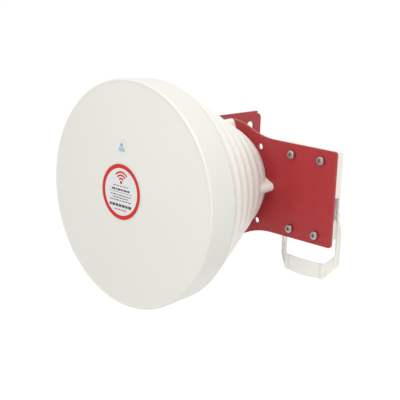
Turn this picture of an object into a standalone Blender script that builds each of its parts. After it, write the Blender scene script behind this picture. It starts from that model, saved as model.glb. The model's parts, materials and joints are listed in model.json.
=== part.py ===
"""Closed-front round horn antenna on a folded bracket, with a radio cradle and a pole clamp.

Every place is first given in the horn frame, in millimetres: the axis of the horn is Y, the horn
faces -Y, Y = 0 is the plane of the rim of its face, +X points to the radio cradle and +Z is up.
The function spot() turns such a place into a world position, in metres. The world origin is on
the axis of the pole that the clamp grips, half way up its jaws.
"""
import math

import bmesh
import bpy
from mathutils import Matrix, Vector

MM = 0.001
GAP = 0.3

# Pole clamp, seen from the pole's axis
POLE_AT = (-50.3, 313.0, -36.0)
JAW_HEIGHT = 52.0
JAW_HALF_WIDTH = 42.0
JAW_LIP = 10.0
JAW_APEX = 22.0
JAW_BACK = 29.0
CLAMP_BOLT_OFFSET = 32.0
CLAMP_BOLT_END = 53.0

# Radome: the closed front and its skirt
FACE_RADIUS = 125.0
FACE_DOME = 2.0
SKIRT_BACK = 37.1
SKIRT_OUTER = 125.0
SKIRT_INNER = 122.2

# Horn housing: a ribbed cone behind the skirt
CONE_SLOPE = 0.5394
CONE_START = 37.4
CONE_BACK = 161.3
RIB_PITCH = 23.5
RIB_CREST = 57.5
RIB_HEIGHT = 0.9
WALL = 4.2
REAR_OPENING = 44.3
LUG_SCREW = 61.0
LUG_TIP = 64.7
LUG_TIP_RADIUS = 5.3
LUG_SIDE_ANGLE = 24.6
LUG_FRONT = 136.0

# Folded bracket
SHEET = 3.0
PLATE_FRONT = 161.6
PLATE_BACK = PLATE_FRONT + SHEET
DISC_RADIUS = 69.8
TAB_RIGHT = 156.5
TAB_TOP = 55.1
TAB_BOTTOM = -53.8
TAB_CORNER = 3.4
NECK_FILLET = 90.0
FLANGE_INNER = -45.0
FLANGE_OUTER = FLANGE_INNER - SHEET
FLANGE_HALF_HEIGHT = 64.7
FLANGE_BACK = 265.0
SIDE_HOLE = (245.6, 45.2)
SIDE_HOLE_RADIUS = 7.2
SPARE_HOLE = (46.4, 44.0)
SPARE_HOLE_RADIUS = 3.5

# Tilt: the head turns about the lower side hole, and a bolt runs in an arc slot
TILT_Y = SIDE_HOLE[0]
TILT_Z = -SIDE_HOLE[1]
SLOT_RADIUS = 60.0
SLOT_BOLT_ANGLE = 135.0
TILT_DOWN = 20.0
TILT_UP = 15.0
SLOT_HALF_WIDTH = 4.5
M8 = 4.0

# Feed behind the plate
FEED_BORE = 20.0
FEED_BARREL = 26.0
FEED_FLANGE = 44.0
FEED_BACK = 225.0
FEED_SCREW_RADIUS = 38.0
CAP_SCREW_RADIUS = 23.0
PORT_X_Y = 196.0
PORT_Z_Y = 210.0
PORT_FACE = 31.0

# Radio cradle
CRADLE_LEFT = 74.0
CRADLE_RIGHT = 154.0
CRADLE_TOP = 54.2
CRADLE_BOTTOM = -49.7
CRADLE_FRONT = PLATE_BACK + GAP
CRADLE_BACK = 177.4
CRADLE_WALL = 3.0
RECESS_TOP = 2.0
RECESS_BOTTOM = -24.4
RECESS_DEPTH = 9.0
RECESS_WALL = 2.0
EAR_REACH = 3.0
RECESS_BACK = 174.9
LOW_PART_BACK = 170.0
LOW_RIM_BACK = 172.0
BOSS_BACK = 173.0
DOCK_SCREWS = ((95.0, 42.9), (137.0, 42.9), (98.0, -42.8), (134.6, -42.7))

# Bail: a loop that swings about two pins in the side walls of the cradle
BAIL_Y = 176.6
BAIL_Z = -18.0
BAIL_HEAD = 2.4
BAIL_ARM = 2.4
BAIL_BACK = 184.4
ARM_BOTTOM = -78.9
FOOT_FRONT = 170.0
FOOT_TOP = -77.4
FOOT_BOTTOM = -94.8
FOOT_INSET = 12.2
FOOT_RIM = 4.4
LIP = 1.1
PIN_HOLE = 1.4

# Stickers on the face
LABEL_AT = (-9.3, 2.4)
LABEL_RADIUS = 32.1
MARK_AT = (-10.2, 52.6)
MARK_RADIUS = 6.8

AXIS_TURN = {
    "X": Matrix(((0, 0, 1), (1, 0, 0), (0, 1, 0))).to_4x4(),
    "Y": Matrix.Rotation(math.radians(90), 4, "X"),
    "Z": Matrix.Identity(4),
}
WAYS = {"X": Vector((1, 0, 0)), "Y": Vector((0, 1, 0)), "Z": Vector((0, 0, 1))}


def spot(x, y, z):
    """World position in metres of a horn-frame place in millimetres."""
    return Vector((x - POLE_AT[0], y - POLE_AT[1], z - POLE_AT[2])) * MM


# ---------------------------------------------------------------- scene and materials

def clear_scene():
    for thing in list(bpy.data.objects):
        bpy.data.objects.remove(thing, do_unlink=True)
    for group in list(bpy.data.collections):
        bpy.data.collections.remove(group)


def new_collection(name):
    group = bpy.data.collections.new(name)
    bpy.context.scene.collection.children.link(group)
    return group


def make_look(name, colour, roughness, metallic=0.0):
    look = bpy.data.materials.new(name)
    look.use_nodes = True
    shader = look.node_tree.nodes["Principled BSDF"]
    shader.inputs["Base Color"].default_value = (*colour, 1.0)
    shader.inputs["Roughness"].default_value = roughness
    shader.inputs["Metallic"].default_value = metallic
    look.diffuse_color = (*colour, 1.0)
    return look


def make_looks():
    return {
        "radome": make_look("radome", (0.80, 0.80, 0.74), 0.45),
        "housing": make_look("housing", (0.78, 0.76, 0.70), 0.55),
        "red_coat": make_look("red_coat", (0.36, 0.035, 0.04), 0.45),
        "cradle": make_look("cradle", (0.86, 0.83, 0.76), 0.5),
        "aluminium": make_look("aluminium", (0.62, 0.63, 0.64), 0.4, 1.0),
        "cast": make_look("cast", (0.45, 0.46, 0.47), 0.55, 1.0),
        "stainless": make_look("stainless", (0.55, 0.54, 0.52), 0.3, 1.0),
        "zinc": make_look("zinc", (0.60, 0.61, 0.62), 0.35, 1.0),
        "brass": make_look("brass", (0.72, 0.55, 0.25), 0.3, 1.0),
        "ptfe": make_look("ptfe", (0.90, 0.90, 0.88), 0.5),
        "rubber": make_look("rubber", (0.03, 0.03, 0.03), 0.7),
        "paper": make_look("paper", (0.74, 0.74, 0.73), 0.5),
        "blue_ink": make_look("blue_ink", (0.35, 0.55, 0.72), 0.5),
    }


# ---------------------------------------------------------------- outlines

def arc(centre, radius, start, end, steps):
    """Points on a circle from one angle to another, in degrees, both ends included."""
    points = []
    for step in range(steps + 1):
        angle = math.radians(start + (end - start) * step / steps)
        points.append((centre[0] + radius * math.cos(angle), centre[1] + radius * math.sin(angle)))
    return points


def circle(centre, radius, steps=16):
    return arc(centre, radius, 0, 360, steps)[:-1]


def mirrored(points):
    """The same points with the second coordinate turned over, in the opposite order."""
    return [(first, -second) for first, second in reversed(points)]


def arc_slot(centre, radius, half_width, start, end, steps=8):
    """Outline of a slot that follows a circle, with round ends."""
    first = arc(centre, radius, start, start, 1)[0]
    last = arc(centre, radius, end, end, 1)[0]
    outline = arc(centre, radius + half_width, start, end, steps)
    outline += arc(last, half_width, end, end + 180, 6)[1:]
    outline += arc(centre, radius - half_width, end, start, steps)[1:]
    outline += arc(first, half_width, start + 180, start + 360, 6)[1:-1]
    return outline


# ---------------------------------------------------------------- building blocks

class Builder:
    """Makes the solids, and keeps the parts in one collection and the cutters in another."""

    def __init__(self, parts, cutters, looks):
        self.parts = parts
        self.cutters = cutters
        self.looks = looks

    def keep(self, name, mesh, matrix, look):
        thing = bpy.data.objects.new(name, mesh)
        thing.matrix_world = matrix
        if look is None:
            self.cutters.objects.link(thing)
            thing.hide_render = True
            thing.display_type = "WIRE"
        else:
            self.parts.objects.link(thing)
            mesh.materials.clear()
            mesh.materials.append(self.looks[look])
        return thing

    def box(self, name, low, high, look=None):
        """Box between two horn-frame corners."""
        size = [top - bottom for bottom, top in zip(low, high)]
        middle = [(top + bottom) / 2 for bottom, top in zip(low, high)]
        mesh = bpy.data.meshes.new(name)
        shape = bmesh.new()
        bmesh.ops.create_cube(shape, size=1.0)
        bmesh.ops.scale(shape, vec=Vector(size) * MM, verts=shape.verts)
        shape.to_mesh(mesh)
        shape.free()
        return self.keep(name, mesh, Matrix.Translation(spot(*middle)), look)

    def rod(self, name, start, end, radius, look=None, end_radius=None, segments=20):
        """Cylinder or cone between two horn-frame places."""
        first = spot(*start)
        last = spot(*end)
        reach = last - first
        mesh = bpy.data.meshes.new(name)
        shape = bmesh.new()
        bmesh.ops.create_cone(
            shape, cap_ends=True, segments=segments, radius1=radius * MM,
            radius2=(radius if end_radius is None else end_radius) * MM, depth=reach.length)
        shape.to_mesh(mesh)
        shape.free()
        turn = Vector((0, 0, 1)).rotation_difference(reach).to_matrix().to_4x4()
        return self.keep(name, mesh, Matrix.Translation((first + last) / 2) @ turn, look)

    def turned(self, name, profile, base, way, look=None, steps=24, ring=False):
        """Turn (radius, height) points about a line through base that runs along way."""
        mesh = bpy.data.meshes.new(name)
        vertices = [(radius * MM, 0, height * MM) for radius, height in profile]
        edges = [(index, index + 1) for index in range(len(vertices) - 1)]
        if ring:
            edges.append((len(vertices) - 1, 0))
        mesh.from_pydata(vertices, edges, [])
        turn = Vector((0, 0, 1)).rotation_difference(Vector(way)).to_matrix().to_4x4()
        thing = self.keep(name, mesh, Matrix.Translation(spot(*base)) @ turn, look)
        screw = thing.modifiers.new("turn", "SCREW")
        screw.angle = 2 * math.pi
        screw.steps = steps
        screw.render_steps = steps
        screw.use_merge_vertices = True
        screw.merge_threshold = 0.00001
        return apply_modifiers(thing)

    def slab(self, name, outline, holes, axis, span, look=None):
        """Flat outline with holes, extruded along X, Y or Z between two heights."""
        curve = bpy.data.curves.new(name, "CURVE")
        curve.dimensions = "2D"
        curve.fill_mode = "BOTH"
        curve.extrude = abs(span[1] - span[0]) / 2 * MM
        for points in [outline] + list(holes):
            spline = curve.splines.new("POLY")
            spline.points.add(len(points) - 1)
            for point, (first, second) in zip(spline.points, points):
                point.co = (first * MM, second * MM, 0, 1)
            spline.use_cyclic_u = True
        guide = bpy.data.objects.new(name, curve)
        bpy.context.scene.collection.objects.link(guide)
        bpy.context.view_layer.update()
        graph = bpy.context.evaluated_depsgraph_get()
        mesh = bpy.data.meshes.new_from_object(guide.evaluated_get(graph))
        mesh.name = name
        bpy.data.objects.remove(guide)
        bpy.data.curves.remove(curve)
        weld(mesh)
        middle = (span[0] + span[1]) / 2
        centre = {"X": (middle, 0, 0), "Y": (0, middle, 0), "Z": (0, 0, middle)}[axis]
        return self.keep(name, mesh, Matrix.Translation(spot(*centre)) @ AXIS_TURN[axis], look)

    def hull(self, name, corners):
        """Convex solid around some horn-frame corners."""
        mesh = bpy.data.meshes.new(name)
        shape = bmesh.new()
        for corner in corners:
            shape.verts.new(spot(*corner))
        bmesh.ops.convex_hull(shape, input=shape.verts)
        shape.to_mesh(mesh)
        shape.free()
        weld(mesh)
        return self.keep(name, mesh, Matrix.Identity(4), None)

    def hex_bolt(self, name, seat, way, radius, length, head_radius, head_height, look):
        """Bolt with a six-sided head: seat is the place under the head, way runs to the tip."""
        seat = Vector(seat)
        way = Vector(way)
        bolt = self.rod(name, seat - way * head_height, seat, head_radius, look, segments=6)
        shank = self.rod("shank", seat - way * head_height / 2, seat + way * length, radius, segments=12)
        return join(bolt, shank)

    def cap_screw(self, name, seat, way, radius, length, head_radius, head_height, look):
        """Screw with a round head and a six-sided socket."""
        edge = 0.12 * head_radius
        profile = [
            (0, head_height), (head_radius - edge, head_height), (head_radius, head_height - edge),
            (head_radius, 0), (radius, 0), (radius, -length + 0.4), (radius - 0.4, -length), (0, -length)]
        seat = Vector(seat)
        way = Vector(way)
        screw = self.turned(name, profile, seat, -way, look, steps=12)
        floor = seat - way * head_height * 0.4
        socket = self.rod("socket", floor, seat - way * (head_height + 1), head_radius * 0.5, segments=6)
        return cut(screw, socket)

    def nut(self, name, start, axis, thickness, bore, radius, look):
        """Six-sided nut along X, Y or Z; start is the centre of its lower face."""
        outline = circle((0, 0), radius, 6)
        hole = circle((0, 0), bore, 16)
        nut = self.slab(name, outline, [hole], axis, (0, thickness), look)
        middle = Vector(start) + WAYS[axis] * (thickness / 2)
        nut.matrix_world = Matrix.Translation(spot(*middle)) @ AXIS_TURN[axis]
        return nut

    def washer(self, name, start, way, thickness, bore, radius, look, steps=16):
        profile = [(radius, thickness), (radius, 0), (bore, 0), (bore, thickness)]
        return self.turned(name, profile, start, way, look, steps=steps, ring=True)


def weld(mesh):
    shape = bmesh.new()
    shape.from_mesh(mesh)
    bmesh.ops.remove_doubles(shape, verts=shape.verts, dist=0.000002)
    bmesh.ops.dissolve_degenerate(shape, edges=shape.edges, dist=0.000002)
    bmesh.ops.recalc_face_normals(shape, faces=shape.faces)
    shape.to_mesh(mesh)
    shape.free()


def apply_modifiers(thing):
    """Replace an object's mesh with what its modifiers make of it."""
    bpy.context.view_layer.update()
    graph = bpy.context.evaluated_depsgraph_get()
    mesh = bpy.data.meshes.new_from_object(thing.evaluated_get(graph))
    mesh.name = thing.name
    thing.modifiers.clear()
    thing.data = mesh
    weld(mesh)
    return thing


def combine(thing, others, operation):
    for other in others:
        modifier = thing.modifiers.new("combine", "BOOLEAN")
        modifier.operation = operation
        modifier.solver = "EXACT"
        modifier.object = other
    apply_modifiers(thing)
    look = thing.data.materials[0] if thing.data.materials else None
    thing.data.materials.clear()
    if look:
        thing.data.materials.append(look)
        thing.data.polygons.foreach_set("material_index", [0] * len(thing.data.polygons))
    for other in others:
        bpy.data.objects.remove(other)
    return thing


def cut(thing, *cutters):
    return combine(thing, cutters, "DIFFERENCE")


def join(thing, *others):
    return combine(thing, others, "UNION")


def round_edge(thing, chosen, width, segments):
    """Bevel the edges of an object whose two world ends both pass a test."""
    shape = bmesh.new()
    shape.from_mesh(thing.data)
    edges = []
    for edge in shape.edges:
        ends = [thing.matrix_world @ vertex.co for vertex in edge.verts]
        if all(chosen(end) for end in ends):
            edges.append(edge)
    bmesh.ops.bevel(
        shape, geom=edges, offset=width * MM, offset_type="OFFSET", segments=segments, profile=0.5,
        affect="EDGES", clamp_overlap=True)
    shape.to_mesh(thing.data)
    shape.free()
    weld(thing.data)
    return thing


# ---------------------------------------------------------------- horn

def dome(radius):
    """How far the domed face stands in front of its rim, as a height along +Y."""
    return -FACE_DOME * (1 - (radius / FACE_RADIUS) ** 2)


def cone(depth):
    """Radius of the cone through the middle of the ribs."""
    return SKIRT_OUTER - 0.2 - CONE_SLOPE * (depth - CONE_START)


def ribbed_cone(depth):
    """Radius of the housing, with round ribs that fade out at both ends."""
    fade = min(1.0, (depth - CONE_START) / 4, (CONE_BACK - depth) / 6)
    return cone(depth) + fade * RIB_HEIGHT * math.cos(2 * math.pi * (depth - RIB_CREST) / RIB_PITCH)


def make_radome(make):
    profile = [(0, 0.9), (121.8, 1.2), (SKIRT_INNER, 1.6), (SKIRT_INNER, SKIRT_BACK)]
    profile += [(SKIRT_OUTER - 0.3, SKIRT_BACK), (SKIRT_OUTER, SKIRT_BACK - 0.3), (127.4, 2.6)]
    profile += [(127.1, 1.3), (126.3, 0.4), (FACE_RADIUS, 0)]
    profile += [(FACE_RADIUS * part / 5, dome(FACE_RADIUS * part / 5)) for part in (4, 2.5, 0)]
    make.turned("radome", profile, (0, 0, 0), (0, 1, 0), "radome", steps=64)
    make.washer("radome_gasket", (0, 1.6, 0), (0, 1, 0), 2.6, 119.0, 121.6, "rubber", steps=32)


def lug_outline():
    """Outline of the lug on the +X side: a round tip whose sides spread towards the cone."""
    root = 50.0
    spread = 90 - LUG_SIDE_ANGLE
    tip = arc((LUG_TIP, 0), LUG_TIP_RADIUS, -spread, spread, 8)
    rise = (tip[-1][0] - root) * math.tan(math.radians(LUG_SIDE_ANGLE))
    return [(root, tip[0][1] - rise)] + tip + [(root, tip[-1][1] + rise)]


def turned_outline(points, degrees):
    """The same points, turned about the origin."""
    cosine = math.cos(math.radians(degrees))
    sine = math.sin(math.radians(degrees))
    return [(x * cosine - z * sine, x * sine + z * cosine) for x, z in points]


def make_housing(make):
    ribs = 25
    depths = [CONE_BACK - (CONE_BACK - CONE_START) * step / ribs for step in range(ribs + 1)]
    profile = [(ribbed_cone(depth), depth) for depth in depths]
    profile += [(121.9, CONE_START), (121.9, 4.5), (118.9, 4.5), (118.9, 40.0)]
    profile += [(cone(148.0) - WALL, 148.0), (60.0, 152.0)]
    profile += [(REAR_OPENING, 152.0), (REAR_OPENING, CONE_BACK)]
    shell = make.turned("horn_housing", profile, (0, 0, 0), (0, 1, 0), "housing", steps=64, ring=True)
    lugs = []
    holes = []
    for turn in (0, 90, 180, 270):
        lugs.append(make.slab("lug", turned_outline(lug_outline(), turn), [], "Y", (LUG_FRONT, CONE_BACK)))
        x, z = arc((0, 0), LUG_SCREW, turn, turn, 1)[0]
        holes.append(make.rod("hole", (x, 146, z), (x, 170, z), 2.8, segments=8))
    join(shell, *lugs)
    cut(shell, *holes)


def make_flare(make):
    profile = [
        (FEED_FLANGE, CONE_BACK), (FEED_FLANGE, 158.3), (21.8, 158.3), (21.8, 146), (118.3, 6),
        (116.9, 6), (20.2, 146), (20.2, CONE_BACK)]
    flare = make.turned("horn_flare", profile, (0, 0, 0), (0, 1, 0), "aluminium", steps=32, ring=True)
    cut(flare, *corner_holes(make, FEED_SCREW_RADIUS, 2.3, 150, 170))


def corner_holes(make, radius, size, front, back):
    """Four drills along Y, at 45 degrees to the main axes."""
    drills = []
    for x, z in circle((0, 0), radius, 8)[1::2]:
        drills.append(make.rod("hole", (x, front, z), (x, back, z), size, segments=12))
    return drills


def make_stickers(make):
    back = dome(0) - GAP
    x, z = LABEL_AT
    make.rod("round_label", (x, back, z), (x, back - 0.25, z), LABEL_RADIUS, "paper", segments=48)
    x, z = MARK_AT
    back = dome(math.hypot(x, z) - MARK_RADIUS) - GAP
    make.rod("up_mark_sticker", (x, back, z), (x, back - 0.15, z), MARK_RADIUS, "blue_ink", segments=24)


# ---------------------------------------------------------------- bracket

def plate_half(tab):
    """Upper half of the plate's outline, for a tab that reaches this high."""
    fillet_z = tab + NECK_FILLET
    fillet_x = math.sqrt((DISC_RADIUS + NECK_FILLET) ** 2 - fillet_z ** 2)
    touch = math.degrees(math.atan2(fillet_z, fillet_x))
    corner = (TAB_RIGHT - TAB_CORNER, tab - TAB_CORNER)
    upper = arc(corner, TAB_CORNER, 0, 90, 6)
    upper += arc((fillet_x, fillet_z), NECK_FILLET, -90, touch - 180, 8)
    upper += arc((0, 0), DISC_RADIUS, touch, 98, 8)[1:]
    return upper + [(FLANGE_INNER, FLANGE_HALF_HEIGHT), (FLANGE_OUTER, FLANGE_HALF_HEIGHT)]


def plate_outline():
    return plate_half(TAB_TOP) + mirrored(plate_half(-TAB_BOTTOM))


def flange_outline():
    step = FLANGE_BACK - 6.7
    upper = arc((step, 54.9), 6.7, 0, 90, 5)
    upper += [(step, FLANGE_HALF_HEIGHT), (PLATE_FRONT + 1, FLANGE_HALF_HEIGHT)]
    return upper + mirrored(upper)


def make_bracket(make):
    holes = [circle((0, 0), 33.0, 40)]
    holes += [circle((SPARE_HOLE[0], z), SPARE_HOLE_RADIUS) for z in (SPARE_HOLE[1], -SPARE_HOLE[1])]
    holes += [circle(place, 3.0) for place in DOCK_SCREWS]
    holes += [circle(place, 3.0) for place in ((LUG_SCREW, 0), (0, LUG_SCREW), (0, -LUG_SCREW))]
    holes += [circle(place, 2.5) for place in circle((0, 0), FEED_SCREW_RADIUS, 8)[1::2]]
    sheet = (PLATE_FRONT, PLATE_BACK)
    bracket = make.slab("red_bracket", plate_outline(), holes, "Y", sheet, "red_coat")
    side_holes = [circle((SIDE_HOLE[0], z), SIDE_HOLE_RADIUS, 24) for z in (TILT_Z, -TILT_Z)]
    low = SLOT_BOLT_ANGLE - TILT_DOWN - 1
    high = SLOT_BOLT_ANGLE + TILT_UP + 1
    side_holes.append(arc_slot((TILT_Y, TILT_Z), SLOT_RADIUS, SLOT_HALF_WIDTH, low, high))
    flange = make.slab("flange", flange_outline(), side_holes, "X", (FLANGE_OUTER, FLANGE_INNER))
    join(bracket, flange)
    fold = spot(FLANGE_OUTER, PLATE_FRONT, 0)
    near = 0.0001

    def on_fold(place):
        return abs(place.x - fold.x) < near and abs(place.y - fold.y) < near

    round_edge(bracket, on_fold, 3.2, 4)


def make_housing_screws(make):
    for name, x, z in (("right", LUG_SCREW, 0), ("top", 0, LUG_SCREW), ("bottom", 0, -LUG_SCREW)):
        seat = (x, PLATE_BACK + GAP, z)
        make.cap_screw("horn_screw_" + name, seat, (0, -1, 0), 2.5, 17, 4.6, 3.4, "stainless")


# ---------------------------------------------------------------- feed

def make_feed(make):
    profile = [
        (FEED_BARREL, FEED_BACK), (FEED_BARREL, 172), (28, 169.9), (FEED_FLANGE, 169.9),
        (FEED_FLANGE, PLATE_BACK + GAP), (32.2, PLATE_BACK + GAP), (32.2, 162.9), (FEED_BORE, 162.9),
        (FEED_BORE, FEED_BACK)]
    body = make.turned("feed_body", profile, (0, 0, 0), (0, 1, 0), "cast", steps=32, ring=True)
    join(body,
         make.rod("port", (22, PORT_X_Y, 0), (PORT_FACE, PORT_X_Y, 0), 10.5, segments=24),
         make.rod("port", (0, PORT_Z_Y, -22), (0, PORT_Z_Y, -PORT_FACE), 10.5, segments=24))
    drills = [
        make.rod("bore", (FEED_BORE - 4, PORT_X_Y, 0), (PORT_FACE + 4, PORT_X_Y, 0), 3.4, segments=12),
        make.rod("bore", (0, PORT_Z_Y, 4 - FEED_BORE), (0, PORT_Z_Y, -PORT_FACE - 4), 3.4, segments=12)]
    drills += corner_holes(make, FEED_SCREW_RADIUS, 2.5, 160, 175)
    drills += corner_holes(make, CAP_SCREW_RADIUS, 1.6, 214, 230)
    cut(body, *drills)
    make.washer("feed_gasket", (0, 161.6, 0), (0, 1, 0), 1.0, 21.0, 32.0, "rubber", steps=24)
    cap = make.rod("feed_end_cap", (0, FEED_BACK + GAP, 0), (0, 231, 0), FEED_BARREL, "cast", segments=32)
    cut(cap, *corner_holes(make, CAP_SCREW_RADIUS, 1.6, 220, 240))
    for index, (x, z) in enumerate(circle((0, 0), FEED_SCREW_RADIUS, 8)[1::2], 1):
        make.cap_screw(f"feed_screw_{index}", (x, 170.2, z), (0, -1, 0), 2.0, 11, 3.5, 3.0, "stainless")
    for index, (x, z) in enumerate(circle((0, 0), CAP_SCREW_RADIUS, 8)[1::2], 1):
        make.cap_screw(f"cap_screw_{index}", (x, 231.3, z), (0, -1, 0), 1.25, 15, 2.5, 2.0, "stainless")


def make_port(make, side, depth, way):
    """Probe, insulator and socket of one polarisation; way points out of the feed body."""
    way = Vector(way)
    middle = Vector((0, depth, 0))
    make.rod("probe_" + side, middle + way * 9, middle + way * PORT_FACE, 0.9, "brass", segments=12)
    make.washer("insulator_" + side, middle + way * 21, way, 9.5, 1.2, 3.1, "ptfe", steps=16)
    profile = [
        (0, 16), (1.4, 16), (1.6, 15.6), (1.6, 6), (4.0, 6), (4.0, 19), (7.4, 19), (7.9, 18.5), (7.9, 7),
        (6.9, 6.4), (6.9, 3.2), (9.6, 3.2), (10.0, 2.8), (10.0, 0), (0, 0)]
    make.turned("connector_" + side, profile, middle + way * (PORT_FACE + GAP), way, "zinc", steps=18)


# ---------------------------------------------------------------- cradle and bail

def both_sides(low, high):
    """A range of X on the right side, and the same range on the left side."""
    middle = CRADLE_LEFT + CRADLE_RIGHT
    return ((low, high), (middle - high, middle - low))


def make_cradle(make):
    cradle = make.box("cradle", (CRADLE_LEFT, CRADLE_FRONT, CRADLE_BOTTOM),
                      (CRADLE_RIGHT, CRADLE_BACK, CRADLE_TOP), "cradle")
    wall = CRADLE_WALL
    floor = CRADLE_FRONT + wall
    clear = 5
    shelf = RECESS_TOP + wall
    inside = RECESS_DEPTH + RECESS_WALL
    hollows = [make.box("pocket", (CRADLE_LEFT + wall, floor, shelf),
                        (CRADLE_RIGHT - wall, CRADLE_BACK + clear, CRADLE_TOP - wall)),
               make.box("low_pocket", (CRADLE_LEFT + inside, floor, CRADLE_BOTTOM + wall),
                        (CRADLE_RIGHT - inside, CRADLE_BACK + clear, shelf + 1))]
    hollows += [make.box("recess", (low, CRADLE_FRONT - clear, RECESS_BOTTOM),
                         (high, RECESS_BACK, RECESS_TOP))
                for low, high in both_sides(CRADLE_RIGHT - RECESS_DEPTH, CRADLE_RIGHT + clear)]
    for low, high in both_sides(CRADLE_RIGHT - wall, CRADLE_RIGHT + clear):
        hollows.append(make.box("low_part", (low, LOW_PART_BACK, CRADLE_BOTTOM - clear),
                                (high, CRADLE_BACK + clear, RECESS_BOTTOM)))
        hollows.append(make.box("strip_end", (low, LOW_PART_BACK, RECESS_BOTTOM - 1),
                                (high, CRADLE_BACK + clear, BAIL_Z + BAIL_HEAD + 0.6)))
    cut(cradle, *hollows)
    added = [make.box("ear", (low, BAIL_Y - EAR_REACH, BAIL_Z - EAR_REACH),
                      (high, BAIL_Y + EAR_REACH, BAIL_Z + EAR_REACH))
             for low, high in both_sides(CRADLE_RIGHT - RECESS_DEPTH - 0.5, CRADLE_RIGHT - wall - 0.4)]
    for x, z in DOCK_SCREWS:
        added.append(make.rod("boss", (x, floor - 1.1, z), (x, BOSS_BACK, z), 5.6, segments=24))
    join(cradle, *added)
    drills = [make.rod("hole", (x, 160, z), (x, 180, z), 2.8, segments=14) for x, z in DOCK_SCREWS]
    drills.append(pin_drill(make))
    drills.append(make.box("low_rim", (CRADLE_LEFT - clear, LOW_RIM_BACK, CRADLE_BOTTOM - clear),
                           (CRADLE_RIGHT + clear, CRADLE_BACK + clear, CRADLE_BOTTOM + wall + 0.1)))
    cut(cradle, *drills)
    for index, (x, z) in enumerate(DOCK_SCREWS, 1):
        seat = (x, PLATE_FRONT - GAP, z)
        make.cap_screw(f"dock_screw_{index}", seat, (0, 1, 0), 2.4, 17, 4.7, 4.2, "stainless")
        make.nut(f"dock_nut_{index}", (x, BOSS_BACK + GAP, z), "Y", 4.0, 2.7, 4.6, "stainless")


def pin_drill(make):
    """Drill for the two pins of the bail."""
    start = (CRADLE_LEFT - 5, BAIL_Y, BAIL_Z)
    return make.rod("pin_hole", start, (CRADLE_RIGHT + 5, BAIL_Y, BAIL_Z), PIN_HOLE, segments=16)


def bail_side():
    """Outline of one arm, as (Y, Z) points: thin at the pin, wider below."""
    outline = arc((BAIL_Y, BAIL_Z), BAIL_HEAD, 0, 180, 8)
    outline += [(174.2, -19.5), (177.0, -26.5), (177.0, ARM_BOTTOM - 2.3), (183.3, ARM_BOTTOM)]
    outline += [(184.1, -69.0), (BAIL_BACK, -60.0), (BAIL_BACK, -42.0), (183.7, -37.0), (181.8, -31.0)]
    return outline + [(179.5, -24.5), (179.0, -20.5)]


def foot_wall(make, side, outside, inside, margin):
    """Slanting wall from one arm to the front of the foot; side is 1 on the right, -1 on the left.

    The wall runs straight in plan, from the arm in to the front panel. The margin keeps it away from
    the wall's own edges, and outside and inside are its two faces, measured from its outer face.
    """
    centre = (CRADLE_LEFT + CRADLE_RIGHT) / 2
    half = (CRADLE_RIGHT - CRADLE_LEFT) / 2
    arm = Vector((half - 0.1, 177.3))
    front = Vector((half - FOOT_INSET - 0.1, FOOT_FRONT + 0.3))
    along = (front - arm).normalized()
    outward = Vector((-along.y, along.x))
    corners = []
    for place, high, low in ((arm + along * margin, -64.5, ARM_BOTTOM - 2.5),
                             (front - along * margin, FOOT_TOP - 0.1, FOOT_BOTTOM + 0.1)):
        for face in (outside, inside):
            x, y = place - outward * face
            for z in (high - margin * 1.3, low + margin * 1.3):
                corners.append((centre + side * x, y, z))
    return make.hull("foot_wall", corners)


def foot_panel():
    """Plan of the front panel, as (X, Y) points: a bulging sheet between two rims."""
    low = CRADLE_LEFT + FOOT_INSET
    high = CRADLE_RIGHT - FOOT_INSET
    centre = (low + high) / 2
    bulge = 95.9
    reach = math.degrees(math.asin(((high - low) / 2 - FOOT_RIM) / bulge))
    front = arc((centre, FOOT_FRONT - 2.0 + bulge), bulge, 270 - reach, 270 + reach, 10)
    back = arc((centre, FOOT_FRONT + 0.2 + bulge), bulge, 270 + reach, 270 - reach, 10)
    outline = [(low, FOOT_FRONT), (low + FOOT_RIM, FOOT_FRONT)] + front
    outline += [(high - FOOT_RIM, FOOT_FRONT), (high, FOOT_FRONT), (high, FOOT_FRONT + 2.2)]
    return outline + back + [(low, FOOT_FRONT + 2.2)]


def lip_outline():
    """Outline of what is cut away below the foot, which sags in the middle, as (X, Z) points."""
    centre = (CRADLE_LEFT + CRADLE_RIGHT) / 2
    reach = 22.0
    sag = (reach ** 2 + LIP ** 2) / (2 * LIP)
    swing = math.degrees(math.asin(reach / sag))
    low = FOOT_BOTTOM - 3 * LIP
    outline = [(centre - 40, low), (centre - 40, FOOT_BOTTOM)]
    outline += arc((centre, FOOT_BOTTOM - LIP + sag), sag, 270 - swing, 270 + swing, 8)
    return outline + [(centre + 40, FOOT_BOTTOM), (centre + 40, low)]


def make_bail(make):
    arms = [make.slab("arm", bail_side(), [], "X", span)
            for span in both_sides(CRADLE_RIGHT - BAIL_ARM, CRADLE_RIGHT)]
    panel = make.slab("bail", foot_panel(), [], "Z", (FOOT_BOTTOM - LIP, FOOT_TOP), "cradle")
    cut(panel, make.slab("lip", lip_outline(), [], "Y", (FOOT_FRONT - 5, FOOT_FRONT + 10)))
    walls = [foot_wall(make, side, 0, 2.2, 0) for side in (-1, 1)]
    join(panel, *arms, *walls)
    hollow = [(178.9, -30), (178.9, -76.4), (181.6, -76.4), (182.4, -60), (182.4, -42), (181.4, -36)]
    cutters = [make.slab("hollow", hollow, [], "X", span)
               for span in both_sides(CRADLE_RIGHT - 0.9, CRADLE_RIGHT + 2)]
    cutters += [foot_wall(make, side, -2, 1.2, 2.2) for side in (-1, 1)]
    cut(panel, pin_drill(make), *cutters)
    for name, x, way in (("right", CRADLE_RIGHT + GAP, -1), ("left", CRADLE_LEFT - GAP, 1)):
        make.cap_screw("bail_pin_" + name, (x, BAIL_Y, BAIL_Z), (way, 0, 0), 1.1, 7, 1.9, 0.6, "cradle")


# ---------------------------------------------------------------- pole clamp

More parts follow.
